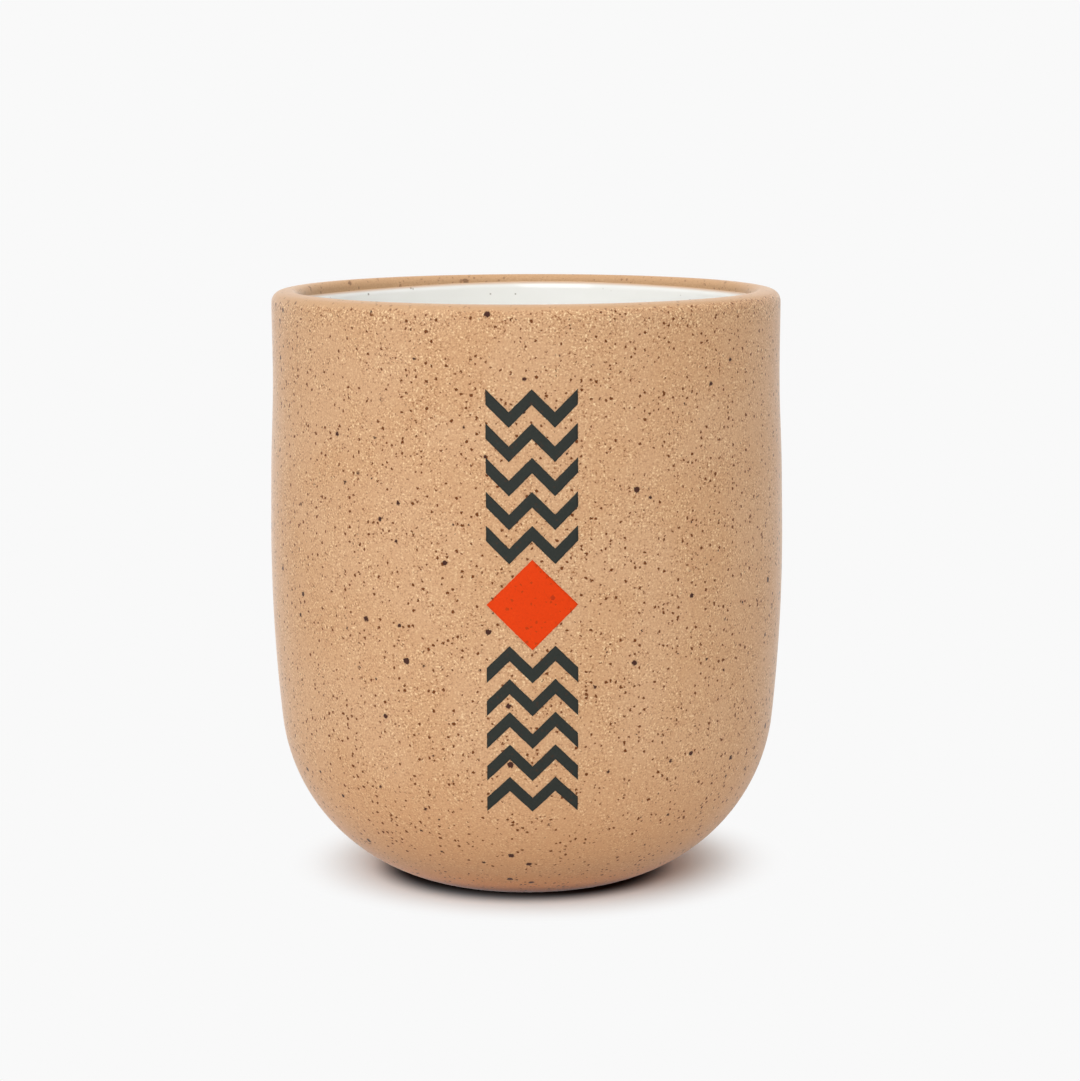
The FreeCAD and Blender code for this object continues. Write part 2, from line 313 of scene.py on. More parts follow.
@dataclass(frozen=True)
class RawStoneware:
    """Buff stoneware, turned and sponged, fired bare.

    Fired clay without a glaze is matt. The sponge washes fine clay off the wall, so its sand
    stands proud and breaks up the light, while the lip, rubbed smooth for the mouth, stays fine
    and has few specks. Iron in the clay melts into dark brown dots. The heel is toasted a warmer
    brown, and its tone also holds painted warm light, bounced up from the table. The last few
    millimetres above the table are painted darker, as painted shade where the foot meets it.
    Heights and widths are in millimetres.
    """

    buff: str = "#d1a47c"
    warm: str = "#ce9f75"
    lip_tone: str = "#cda37b"
    foot_tone: str = "#cc9a6e"
    # Toasted heel, brightened with painted warm light bounced up from the table.
    toasted_heel_and_bounce_tone: str = "#e29550"
    # Painted shade where the foot meets the table.
    foot_shade_tone: str = "#a85a22"
    pale_sand: str = "#f4d6a8"
    dark_sand: str = "#94613a"
    pattern: ClayPattern = ClayPattern()
    mottle: Clouds = Clouds(14.0, 2.0, (0.35, 0.65))
    patches: Clouds = Clouds(3.5, 2.0, (0.36, 0.62))
    patch_share: float = 0.5
    # Real sand in such clay is mostly finer than this. It is drawn this coarse so that it shows.
    sand_grain: float = 0.32
    sand_detail: float = 1.5
    sand_relief: float = 0.06
    relief_strength: float = 0.9
    pale_limits: Band = (0.53, 0.77)
    dark_limits: Band = (0.47, 0.23)
    lip_line: float = 101.3
    lip_lean: float = 0.014
    lip_fade: float = 0.35
    lip_unevenness: float = 1.6
    lip_grain: float = 1.6
    lip_detail: float = 3.0
    lip_outside: float = 43.4
    lip_inside: float = 39.4
    lip_polish: float = 0.85
    edge_band: Band = (96.5, 99.5)
    edge_sand: float = 0.45
    foot_band: Band = (34.0, 6.0)
    foot_wear: float = 0.5
    # Heights of the toasted heel with its painted bounce light, and of the painted shade just above
    # the table.
    toasted_heel_and_bounce_band: Band = (7.0, 0.4)
    foot_shade_band: Band = (3.2, 0.6)
    cream_cover: float = 0.7
    halo_cover: float = 0.25
    speck_cover: float = 0.38
    rough_speck_cover: float = 0.6
    roughness: float = 0.85
    ior: float = 1.5
    gloss: float = 0.3
    dust_sheen: float = 0.45
    dust_spread: float = 0.32

    def lip_mask(self, tree: bpy.types.NodeTree, point: Socket, place: bpy.types.Node) -> Socket:
        """Where the clay is rubbed smooth for the mouth.

        The ragged line between the lip and the wall is read along the height, and from the outside
        of the lip inwards along the radius, so that the whole lip lies beyond it.

        Args:
            tree: the node tree.
            point: where the raggedness is read.
            place: the node that parts the place into its three numbers.

        Returns:
            A share that is 1 on the lip.
        """
        across, height = place.outputs[0], place.outputs[2]
        flat = add_node(tree, "CombineXYZ", {0: across, 1: place.outputs[1]})
        out = add_node(tree, "VectorMath", {0: flat}, operation="LENGTH").outputs["Value"]
        band = (self.lip_outside - self.lip_inside) * MM
        inputs = {0: out, 1: -1 / band, 2: self.lip_outside * MM / band}
        over = add_node(tree, "Math", inputs, operation="MULTIPLY_ADD", use_clamp=True)
        up_and_in = add_node(tree, "Math", {0: over, 1: band, 2: height}, operation="MULTIPLY_ADD")
        inputs = {0: across, 1: -self.lip_lean, 2: up_and_in}
        leaning = add_node(tree, "Math", inputs, operation="MULTIPLY_ADD")
        inputs = {"Vector": point, "Scale": per_metre(self.lip_grain), "Detail": self.lip_detail}
        ragged = add_node(tree, "TexNoise", inputs)
        inputs = {0: ragged, 1: self.lip_unevenness * MM, 2: leaning}
        line = add_node(tree, "Math", inputs, operation="MULTIPLY_ADD")
        middle = self.lip_line + self.lip_unevenness / 2
        inputs = {0: line, 1: (middle - self.lip_fade) * MM, 2: (middle + self.lip_fade) * MM}
        return add_node(tree, "MapRange", inputs, interpolation_type="SMOOTHSTEP").outputs[0]

    def sand_mask(
        self, tree: bpy.types.NodeTree, point: Socket, sponged: Source, edge: Source, foot: Source
    ) -> Socket:
        """Where the sponge has left the sand proud.

        It does so in patches, most of all in a band under the lip, and less towards the foot.

        Args:
            tree: the node tree.
            point: where the patches are read.
            sponged: how much of the sponge's mark the clay keeps.
            edge: the band under the lip.
            foot: the zone near the foot.

        Returns:
            A share of proud sand.
        """
        patches = self.patches.mask(tree, point)
        inputs = {0: patches, 1: self.patch_share, 2: 1 - self.patch_share}
        patchy = add_node(tree, "Math", inputs, operation="MULTIPLY_ADD")
        inputs = {0: edge, 1: self.edge_sand, 2: patchy}
        dragged = add_node(tree, "Math", inputs, operation="MULTIPLY_ADD")
        inputs = {0: foot, 1: -self.foot_wear, 2: 1.0}
        unworn = add_node(tree, "Math", inputs, operation="MULTIPLY_ADD")
        worn = add_node(tree, "Math", {0: sponged, 1: unworn}, operation="MULTIPLY")
        return add_node(tree, "Math", {0: worn, 1: dragged}, operation="MULTIPLY").outputs[0]

    def material(self) -> bpy.types.Material:
        """Makes the material.

        Returns:
            The material, for all bare clay.
        """
        material, tree = new_material("bare speckled stoneware, sponged")
        point = self.pattern.uneven_point(tree)
        here = add_node(tree, "TexCoord").outputs["Object"]
        place = add_node(tree, "SeparateXYZ", {0: here})
        edge, foot, heel, foot_shade = (
            add_node(
                tree, "MapRange", {0: place.outputs[2], 1: start * MM, 2: end * MM},
                interpolation_type="SMOOTHSTEP",
            )
            for start, end in (self.edge_band, self.foot_band, self.toasted_heel_and_bounce_band, self.foot_shade_band)
        )
        lip = self.lip_mask(tree, point, place)
        inputs = {0: lip, 1: -self.lip_polish, 2: 1.0}
        sponged = add_node(tree, "Math", inputs, operation="MULTIPLY_ADD")
        sandy = self.sand_mask(tree, point, sponged, edge, foot)
        colour = lay_tone(tree, self.buff, self.warm, self.mottle.mask(tree, point))
        # Towards the heel the tone is toasted clay with painted warm bounce light, and the lowest
        # band is painted shade where the foot meets the table.
        for mask, tone in (
            (foot, self.foot_tone), (heel, self.toasted_heel_and_bounce_tone),
            (foot_shade, self.foot_shade_tone), (lip, self.lip_tone),
        ):
            colour = lay_tone(tree, colour, tone, mask)
        inputs = {"Vector": here, "Scale": per_metre(self.sand_grain), "Detail": self.sand_detail}
        sand = add_node(tree, "TexNoise", inputs)
        for limits, tone in (
            (self.pale_limits, self.pale_sand), (self.dark_limits, self.dark_sand),
        ):
            inputs = {0: sand, 1: limits[0], 2: limits[1]}
            mask = add_node(tree, "MapRange", inputs, interpolation_type="SMOOTHSTEP")
            colour = lay_tone(tree, colour, tone, mask, sandy)
        inputs = {0: sandy, 1: self.cream_cover}
        creamy = add_node(tree, "Math", inputs, operation="MULTIPLY")
        inputs = {0: sponged, 1: self.rough_speck_cover, 2: self.speck_cover}
        specked = add_node(tree, "Math", inputs, operation="MULTIPLY_ADD")
        for grains, cover in (
            (self.pattern.cream, creamy), (self.pattern.halo, self.halo_cover),
            (self.pattern.specks, specked), (self.pattern.spots, specked),
        ):
            colour = lay_tone(tree, colour, grains.colour, grains.mask(tree, point), cover)
        relief = add_node(tree, "Math", {0: sand, 1: sandy}, operation="MULTIPLY")
        inputs = {
            "Height": relief, "Strength": self.relief_strength, "Distance": self.sand_relief * MM,
        }
        surface = {
            "Base Color": colour, "Normal": add_node(tree, "Bump", inputs),
            "Roughness": self.roughness, "IOR": self.ior, "Specular IOR Level": self.gloss,
            "Sheen Weight": self.dust_sheen, "Sheen Roughness": self.dust_spread,
        }
        finish_surface(tree, surface)
        return material


@dataclass(frozen=True)
class LinerGlaze:
    """White tin glaze, poured in and out, so it is smooth, glassy and a little wavy.

    A glaze is a thin glass. It gives sharp highlights over its white, and iron from the clay bleeds
    up through it here and there as soft grey-brown dots. At its edge it runs out so thin that the
    clay's own tone comes through.
    """

    white: str = "#fdfdfa"
    shade: str = "#fafaf6"
    cloud: Clouds = Clouds(12.0, 2.0, (0.3, 0.7))
    iron: Grains = Grains(2.5, 0.14, 0.40, 0.85, 0.16, "#7d705e")
    iron_cover: float = 0.75
    thin_tone: str = "#d6af8b"
    thin_band: Band = (1.0, 0.0)
    wave_grain: float = 9.0
    wave_detail: float = 0.0
    wave_relief: float = 0.05
    wave_strength: float = 0.5
    roughness: float = 0.1
    ior: float = 1.52

    def material(self) -> bpy.types.Material:
        """Makes the material.

        Returns:
            The material of the glazed inside.
        """
        material, tree = new_material("white liner glaze, poured")
        point = add_node(tree, "TexCoord").outputs["Object"]
        colour = lay_tone(tree, self.white, self.shade, self.cloud.mask(tree, point))
        iron = self.iron.mask(tree, point)
        colour = lay_tone(tree, colour, self.iron.colour, iron, self.iron_cover)
        hiding = add_node(tree, "Attribute", attribute_name=COVER).outputs["Fac"]
        inputs = {0: hiding, 1: self.thin_band[0], 2: self.thin_band[1]}
        thin = add_node(tree, "MapRange", inputs, interpolation_type="SMOOTHSTEP")
        colour = lay_tone(tree, colour, self.thin_tone, thin)
        inputs = {"Vector": point, "Scale": per_metre(self.wave_grain), "Detail": self.wave_detail}
        wave = add_node(tree, "TexNoise", inputs)
        inputs = {
            "Height": wave, "Strength": self.wave_strength, "Distance": self.wave_relief * MM,
        }
        surface = {
            "Base Color": colour, "Normal": add_node(tree, "Bump", inputs),
            "Roughness": self.roughness, "IOR": self.ior,
        }
        finish_surface(tree, surface)
        return material


@dataclass(frozen=True)
class FiredEnamel:
    """Screen-printed ceramic enamel, fired on the bare clay.

    The coat is thin and nearly matt. The clay's sand still shows as a faint grain, drawn about as
    coarse as on the clay, and the iron spots come through as darker dots.
    """

    label: str
    colour: str
    dark: str
    light: str
    spot_cover: float
    pattern: ClayPattern = ClayPattern()
    grain: float = 0.34
    grain_detail: float = 3.0
    dark_limits: Band = (0.55, 0.3)
    dark_cover: float = 0.35
    light_limits: Band = (0.6, 0.75)
    light_cover: float = 0.5
    relief: float = 0.03
    relief_strength: float = 0.8
    roughness: float = 0.6
    ior: float = 1.5
    gloss: float = 0.12

    def material(self) -> bpy.types.Material:
        """Makes the material.

        Returns:
            The material of one colour of the print.
        """
        material, tree = new_material(f"{self.label} ceramic enamel, screen-printed")
        point = self.pattern.uneven_point(tree)
        inputs = {"Vector": point, "Scale": per_metre(self.grain), "Detail": self.grain_detail}
        sand = add_node(tree, "TexNoise", inputs)
        colour: Colour = self.colour
        for limits, tone, cover in (
            (self.dark_limits, self.dark, self.dark_cover),
            (self.light_limits, self.light, self.light_cover),
        ):
            inputs = {0: sand, 1: limits[0], 2: limits[1]}
            mask = add_node(tree, "MapRange", inputs, interpolation_type="SMOOTHSTEP")
            colour = lay_tone(tree, colour, tone, mask, cover)
        for grains in (self.pattern.specks, self.pattern.spots):
            mask = grains.mask(tree, point)
            colour = lay_tone(tree, colour, grains.colour, mask, self.spot_cover)
        inputs = {"Height": sand, "Strength": self.relief_strength, "Distance": self.relief * MM}
        surface = {
            "Base Color": colour, "Normal": add_node(tree, "Bump", inputs),
            "Roughness": self.roughness, "IOR": self.ior, "Specular IOR Level": self.gloss,
        }
        finish_surface(tree, surface)
        return material


def arc_points(centre: Point, radius: float, first: float, last: float, step: float) -> list[Point]:
    """Points along an arc.

    Args:
        centre: the arc's centre.
        radius: its radius.
        first: the angle that it starts at, in radians.
        last: the angle that it ends at.
        step: the longest chord between two points.

    Returns:
        The points, ends included.
    """
    count = max(2, math.ceil(abs(last - first) * radius / step))
    angles = [first + (last - first) * i / count for i in range(count + 1)]
    return [(centre[0] + radius * math.cos(a), centre[1] + radius * math.sin(a)) for a in angles]


def bearing(centre: Point, point: Point) -> float:
    """The angle at which a point is seen from a centre."""
    return math.atan2(point[1] - centre[1], point[0] - centre[0])


@dataclass
class CupForm:
    """The turned profile of the clay, as radius and height, in millimetres.

    The heel arc runs into the bow, which has its centre level with the belly. The bow runs into a
    straight wall that aims at the rim. The foot's edge hold is where a point on the recess's bevel
    keeps the smooth shading close to the ring.
    """

    rim_height: float
    belly_radius: float
    belly_height: float = 58.0
    bow_radius: float = 292.0
    heel_radius: float = 32.5
    rim_draw: float = 0.64
    foot_radius: float = 20.0
    foot_land_width: float = 4.5
    foot_recess_depth: float = 0.8
    foot_recess_bevel: float = 1.0
    foot_edge_hold: float = 0.35
    wall_thickness: float = 5.1
    floor_height: float = 6.5
    hollow_corner_radius: float = 26.0
    lip_outer_round: float = 1.9
    lip_crown_round: float = 7.0
    lip_inner_round: float = 1.3
    waist_depth: float = 0.27
    waist_start: float = 70.0
    chord: float = 1.5
    fine_chord: float = 0.2
    bow_centre: Point = field(init=False)
    heel_centre: Point = field(init=False)
    bow_end: float = field(init=False)

    def __post_init__(self) -> None:
        """Works out the centres of the arcs and where the bow runs into the wall."""
        self.bow_centre = (self.belly_radius - self.bow_radius, self.belly_height)
        foot = (self.foot_radius, 0.0)
        reach = self.bow_radius - self.heel_radius
        apart = math.dist(foot, self.bow_centre)
        along = (reach**2 - self.heel_radius**2 + apart**2) / (2 * apart)
        aside = math.sqrt(reach**2 - along**2)
        turn = bearing(self.bow_centre, foot)
        self.heel_centre = (
            self.bow_centre[0] + along * math.cos(turn) - aside * math.sin(turn),
            self.bow_centre[1] + along * math.sin(turn) + aside * math.cos(turn),
        )
        aim = (self.rim_radius, self.rim_height)
        tilt = math.acos(self.bow_radius / math.dist(self.bow_centre, aim))
        self.bow_end = bearing(self.bow_centre, aim) - tilt

    @property
    def rim_radius(self) -> float:
        """The radius that the wall aims at, at the rim's height."""
        return self.belly_radius - self.rim_draw

    @property
    def hollow_radius(self) -> float:
        """The radius of the hollow's straight wall."""
        return self.belly_radius - self.wall_thickness

    def outer_radius(self, height: float) -> float:
        """The clay's outer radius.

        Args:
            height: the height above the table, under the lip.

        Returns:
            The radius there.
        """
        heel_top = self.heel_centre[1] + self.heel_radius * math.sin(
            bearing(self.bow_centre, self.heel_centre)
        )
        bow_top = self.bow_centre[1] + self.bow_radius * math.sin(self.bow_end)
        if height < heel_top:
            rise = height - self.heel_centre[1]
            return self.heel_centre[0] + math.sqrt(self.heel_radius**2 - rise**2)
        if height < bow_top:
            rise = height - self.bow_centre[1]
            return self.bow_centre[0] + math.sqrt(self.bow_radius**2 - rise**2)
        wall = self.rim_radius + (self.rim_height - height) * math.tan(self.bow_end)
        return wall - self.waist(height)

    def waist(self, height: float) -> float:
        """How far the hand-turned wall draws in under the lip, at a height."""
        share = (height - self.waist_start) / (self.rim_height - self.waist_start)
        return self.waist_depth * math.sin(math.pi * min(max(share, 0.0), 1.0)) ** 2

    def lip_points(self) -> list[Point]:
        """The lip: a round outer corner, a gentle crown and a small round to the hollow's wall.

        Returns:
            The points, from the outside in.
        """
        crest = self.hollow_radius + self.lip_inner_round
        crown_centre = (crest, self.rim_height - self.lip_crown_round)
        corner_radius = self.outer_radius(self.rim_height - self.lip_outer_round)
        across = corner_radius - self.lip_outer_round - crest
        reach = self.lip_crown_round - self.lip_outer_round
        corner_centre = (
            corner_radius - self.lip_outer_round,
            crown_centre[1] + math.sqrt(reach**2 - across**2),
        )
        meeting = bearing(crown_centre, corner_centre)
        inner_centre = (crest, self.rim_height - self.lip_inner_round)
        step = self.fine_chord
        return (
            arc_points(corner_centre, self.lip_outer_round, 0, meeting, step)
            + arc_points(crown_centre, self.lip_crown_round, meeting, math.pi / 2, step)[1:]
            + arc_points(inner_centre, self.lip_inner_round, math.pi / 2, math.pi, step)[1:]
        )

    def hollow_points(self, top: float, inset: float = 0.0) -> list[Point]:
        """The hollow's wall, round corner and floor, from the top down to the axis.

        Args:
            top: the height where the wall starts.
            inset: how far inside the clay's own face the line lies.

        Returns:
            The points.
        """
        centre = (
            self.hollow_radius - self.hollow_corner_radius,
            self.floor_height + self.hollow_corner_radius,
        )
        radius = self.hollow_corner_radius - inset
        corner = arc_points(centre, radius, 0, -math.pi / 2, self.chord)
        return [(self.hollow_radius - inset, top), *corner, (0.0, self.floor_height + inset)]

    def foot_points(self) -> list[Point]:
        """The recess under the cup, from the axis out to the ring that it stands on.

        Returns:
            The points.
        """
        inner = self.foot_radius - self.foot_land_width
        slope = self.foot_recess_depth / self.foot_recess_bevel
        return [
            (0.0, self.foot_recess_depth),
            (inner - self.foot_recess_bevel, self.foot_recess_depth),
            (inner - self.foot_edge_hold, self.foot_edge_hold * slope),
            (inner, 0.0),
        ]

    def outer_points(self) -> list[Point]:
        """The heel, the bow and the wall, up to where the lip starts.

        Returns:
            The points, from the foot up.
        """
        start = -math.asin(self.heel_centre[1] / self.heel_radius)
        join = bearing(self.bow_centre, self.heel_centre)
        heel = arc_points(self.heel_centre, self.heel_radius, start, join, self.chord)
        bow = arc_points(self.bow_centre, self.bow_radius, join, self.bow_end, self.chord)
        low, high = bow[-1][1], self.rim_height - self.lip_outer_round
        count = math.ceil((high - low) / self.chord)
        heights = [low + (high - low) * i / count for i in range(1, count)]
        return heel + bow[1:] + [(self.outer_radius(height), height) for height in heights]


def spin_profile(points: Iterable[Point], segments: int) -> bmesh.types.BMesh:
    """Turns a profile once round the cup's axis.

    Args:
        points: radius and height of each point, in millimetres.
        segments: how many steps the turn has.

    Returns:
        The closed mesh, in metres.
    """
    mesh = bmesh.new()
    verts = [mesh.verts.new((radius * MM, 0.0, height * MM)) for radius, height in points]
    edges = [mesh.edges.new(pair) for pair in zip(verts, verts[1:])]
    bmesh.ops.spin(
        mesh, geom=verts + edges, cent=(0, 0, 0), axis=(0, 0, 1), angle=math.tau,
        steps=segments, use_merge=True,
    )
    bmesh.ops.remove_doubles(mesh, verts=mesh.verts, dist=WELD * MM)
    bmesh.ops.recalc_face_normals(mesh, faces=mesh.faces)
    return mesh


def place_piece(
    mesh: bmesh.types.BMesh, name: str, slot: Slot, material: bpy.types.Material, *nodes: str
) -> bpy.types.Object:
    """Makes the finished piece from its mesh and ties it to the frame.

    Args:
        mesh: the piece's mesh, which is freed.
        name: the piece's name.
        slot: the record's material slot; not used.
        material: what it is dressed in.
        *nodes: the CAD nodes that it stands for.

    Returns:
        The piece.
    """
    data = bpy.data.meshes.new(name)
    mesh.to_mesh(data)
    mesh.free()
    data.shade_smooth()
    data.materials.append(material)
    piece = bpy.data.objects.new(name, data)
    bpy.context.scene.collection.objects.link(piece)
    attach(piece, BODY)
    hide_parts(*nodes)
    log.info("%s: %d faces", name, len(data.polygons))
    return piece


@dataclass
class StonewareBody:
    """The turned clay, from its foot to its lip."""

    form: CupForm
    finish: RawStoneware = RawStoneware()
    segments: int = 320

    def build(self) -> bpy.types.Object:
        """Makes the clay body.

        Returns:
            The piece.
        """
        form = self.form
        hollow = form.hollow_points(form.rim_height - form.lip_inner_round)
        profile = form.foot_points() + form.outer_points() + form.lip_points() + hollow[1:]
        mesh = spin_profile(profile, self.segments)
        material = self.finish.material()
        return place_piece(mesh, "stoneware_cup", Slot.CLAY, material, "stoneware_body")


@dataclass
class InteriorGlaze:
    """The glaze on the inside, which ends under the lip in a slightly wavy edge."""

    form: CupForm
    finish: LinerGlaze = LinerGlaze()
    thickness: float = 0.4
    line_drop: float = 1.5
    edge_rise: float = 1.2
    edge_steps: int = 8
    thin_reach: float = 0.7
    seat_depth: float = 0.05
    wave_reach: float = 0.25
    waves: int = 3
    lean_reach: float = 0.15
    leans: int = 2
    wave_fade: float = 6.0
    segments: int = 320

    def edge_points(self, top: float) -> list[Point]:
        """The glaze's edge, which rounds off from its face up to the clay.

        Args:
            top: the height of the glaze line.

        Returns:
            The points, from the clay to the face.
        """
        inner = self.form.hollow_radius - self.thickness
        angles = [math.pi / 2 * i / self.edge_steps for i in range(1, self.edge_steps)]
        return [
            (
                inner + self.thickness * math.cos(angle) ** 2,
                top - self.edge_rise * (1 - math.cos(angle)),
            )
            for angle in angles
        ]

    def mark_cover(self, mesh: bmesh.types.BMesh, top: float) -> None:
        """Writes how well the glaze hides the clay, from 0 at its edge to 1 a little below it.

        Args:
            mesh: the lining, before its edge is waved.
            top: the height of the glaze line.
        """
        layer = mesh.verts.layers.float.new(COVER)
        for vert in mesh.verts:
            vert[layer] = min((top - vert.co.z / MM) / self.thin_reach, 1.0)

    def wave(self, place: Vector, top: float) -> float:
        """How far the glaze's wavy edge is lifted.

        Args:
            place: a point of the lining, in metres.
            top: the height of the glaze line, in millimetres.

        Returns:
            The lift, in metres, which fades out below the edge.
        """
        fade = max(0.0, 1 - (top - place.z / MM) / self.wave_fade)
        turn = math.atan2(place.x, place.y)
        waved = self.wave_reach * math.cos(self.waves * turn)
        leant = self.lean_reach * math.sin(self.leans * turn)
        return (waved + leant) * fade * MM

    def build(self) -> bpy.types.Object:
        """Makes the lining.

        Returns:
            The piece.
        """
        form = self.form
        top = form.rim_height - self.line_drop
        seat = form.hollow_points(top, -self.seat_depth)
        face = form.hollow_points(top - self.edge_rise, self.thickness)
        mesh = spin_profile(seat[::-1] + self.edge_points(top) + face, self.segments)
        self.mark_cover(mesh, top)
        for vert in mesh.verts:
            vert.co.z += self.wave(vert.co, top)
        material = self.finish.material()
        return place_piece(mesh, "glaze_lining", Slot.GLAZE, material, "interior_glaze")


@dataclass
class PrintedColumn:
    """The printed lozenge and zigzag lines, thin films that follow the curve of the wall."""

    form: CupForm
    orange: FiredEnamel = FiredEnamel("orange-red", "#e23e02", "#cc3604", "#e8510f", 0.38)
    charcoal: FiredEnamel = FiredEnamel("charcoal", "#2f322e", "#252825", "#3d3e3a", 0.12)
    zigzags_a_side: int = 5
    strokes: int = 4
    stroke: float = 2.5
    clearance: float = 0.03
    film: float = 0.05
    cell: float = 0.6
    edge_grain: float = 0.5
    edge_reach: float = 0.05
    edge_seed: int = 7

    def cut_cells(self, mesh: bmesh.types.BMesh) -> None:
        """Cuts a flat shape into small cells, so that it can bend with the wall.

        Args:
            mesh: the shape, in the XZ plane.
        """
        for axis in (0, 2):
            low = min(vert.co[axis] for vert in mesh.verts)
            high = max(vert.co[axis] for vert in mesh.verts)
            normal = Vector((axis == 0, 0, axis == 2))
            count = math.ceil((high - low) / (self.cell * MM))
            for i in range(1, count):
                place = normal * (low + (high - low) * i / count)
                geometry = mesh.verts[:] + mesh.edges[:] + mesh.faces[:]
                bmesh.ops.bisect_plane(mesh, geom=geometry, plane_co=place, plane_no=normal)

    def roughen_edges(self, mesh: bmesh.types.BMesh) -> None:
        """Moves the outline's points a little, as ink does where it spreads on sandy clay.

        Args:
            mesh: the shape, in the XZ plane.
        """
        for vert in mesh.verts:
            if vert.is_boundary:
                reach = self.edge_reach * MM
                shift = noise.noise_vector(vert.co * per_metre(self.edge_grain)) * reach
                vert.co += Vector((shift.x, 0, shift.z))

    def wrap(self, mesh: bmesh.types.BMesh) -> None:
        """Lays a flat shape on the front of the wall and gives it its thickness.

        Args:
            mesh: the shape, in the XZ plane.
        """
        for vert in mesh.verts:
            radius = (self.form.outer_radius(vert.co.z / MM) + self.clearance) * MM
            vert.co.y = -math.sqrt(radius**2 - vert.co.x**2)
        made = bmesh.ops.extrude_face_region(mesh, geom=mesh.faces[:])["geom"]
        for vert in (item for item in made if isinstance(item, bmesh.types.BMVert)):
            flat = Vector((vert.co.x, vert.co.y, 0))
            vert.co += flat.normalized() * self.film * MM
        bmesh.ops.recalc_face_normals(mesh, faces=mesh.faces)

    def print_piece(
        self, mesh: bmesh.types.BMesh, node: str, slot: Slot, material: bpy.types.Material
    ) -> bpy.types.Object:
        """Finishes one printed shape.

        Args:
            mesh: its flat outline, filled, in the XZ plane.
            node: the CAD node that it stands for.
            slot: the record's material slot.
            material: the enamel.

        Returns:
            The piece.
        """
        self.cut_cells(mesh)
        self.roughen_edges(mesh)
        self.wrap(mesh)
        return place_piece(mesh, f"{node}_enamel", slot, material, node)

    def lozenge(self, node: str) -> bmesh.types.BMesh:
        """The lozenge's flat shape, which fills its node's box from corner to corner.

        Args:
            node: the CAD node.

        Returns:
            The shape, in the XZ plane.
        """
        low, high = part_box(node)
        mid = (low + high) / 2
        mesh = bmesh.new()
        corners = [(low.x, mid.z), (mid.x, low.z), (high.x, mid.z), (mid.x, high.z)]
        mesh.faces.new([mesh.verts.new((x, 0, z)) for x, z in corners])
        return mesh

    def zigzag(self, node: str, upper: bool) -> bmesh.types.BMesh:
        """A zigzag line's flat shape.

        Args:
            node: the CAD node, whose box gives its width and height.
            upper: whether the middle points up.

        Returns:
            The shape, in the XZ plane.
        """
        low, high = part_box(node)
        stroke = self.stroke * MM
        rise = high.z - low.z - stroke
        mesh = bmesh.new()
        verts = []
        for step in range(self.strokes + 1):
            across = low.x + (high.x - low.x) * step / self.strokes
            raised = (step % 2 == 0) == upper
            verts.append(mesh.verts.new((across, 0, low.z + rise * raised)))
        edges = [mesh.edges.new(pair) for pair in zip(verts, verts[1:])]
        made = bmesh.ops.extrude_edge_only(mesh, edges=edges)["geom"]
        top = [item for item in made if isinstance(item, bmesh.types.BMVert)]
        bmesh.ops.translate(mesh, verts=top, vec=(0, 0, stroke))
        return mesh

    def build(self) -> list[bpy.types.Object]:
        """Makes all the printed shapes. The noise is seeded, so that their edges never change.

        Returns:
            The pieces.
        """
        noise.seed_set(self.edge_seed)
        orange, charcoal = self.orange.material(), self.charcoal.material()
        lozenge = "lozenge_print"
        pieces = [self.print_piece(self.lozenge(lozenge), lozenge, Slot.ORANGE, orange)]
        for side, upper in (("upper", True), ("lower", False)):
            for number in range(1, self.zigzags_a_side + 1):
                node = f"{side}_zigzag_print_{number}"
                mesh = self.zigzag(node, upper)
                pieces.append(self.print_piece(mesh, node, Slot.CHARCOAL, charcoal))
        return pieces


@dataclass(frozen=True)
class SoftBox:
    """A soft box: its place, its size and its power in watts, aimed at the cup."""

    name: str
    place: Place
    size: float
    power: float
    aim_height: float = 50.0

    def build(self) -> None:
        """Makes the lamp."""
        lamp = bpy.data.lights.new(self.name, "AREA")
        lamp.shape = "SQUARE"
        lamp.size = self.size * MM
        lamp.energy = self.power
        holder = bpy.data.objects.new(self.name, lamp)
        place = Vector(self.place) * MM
        aim = Vector((0, 0, self.aim_height)) * MM - place
        turn = aim.to_track_quat("-Z", "Y").to_matrix().to_4x4()
        holder.matrix_world = Matrix.Translation(place) @ turn
        bpy.context.scene.collection.objects.link(holder)


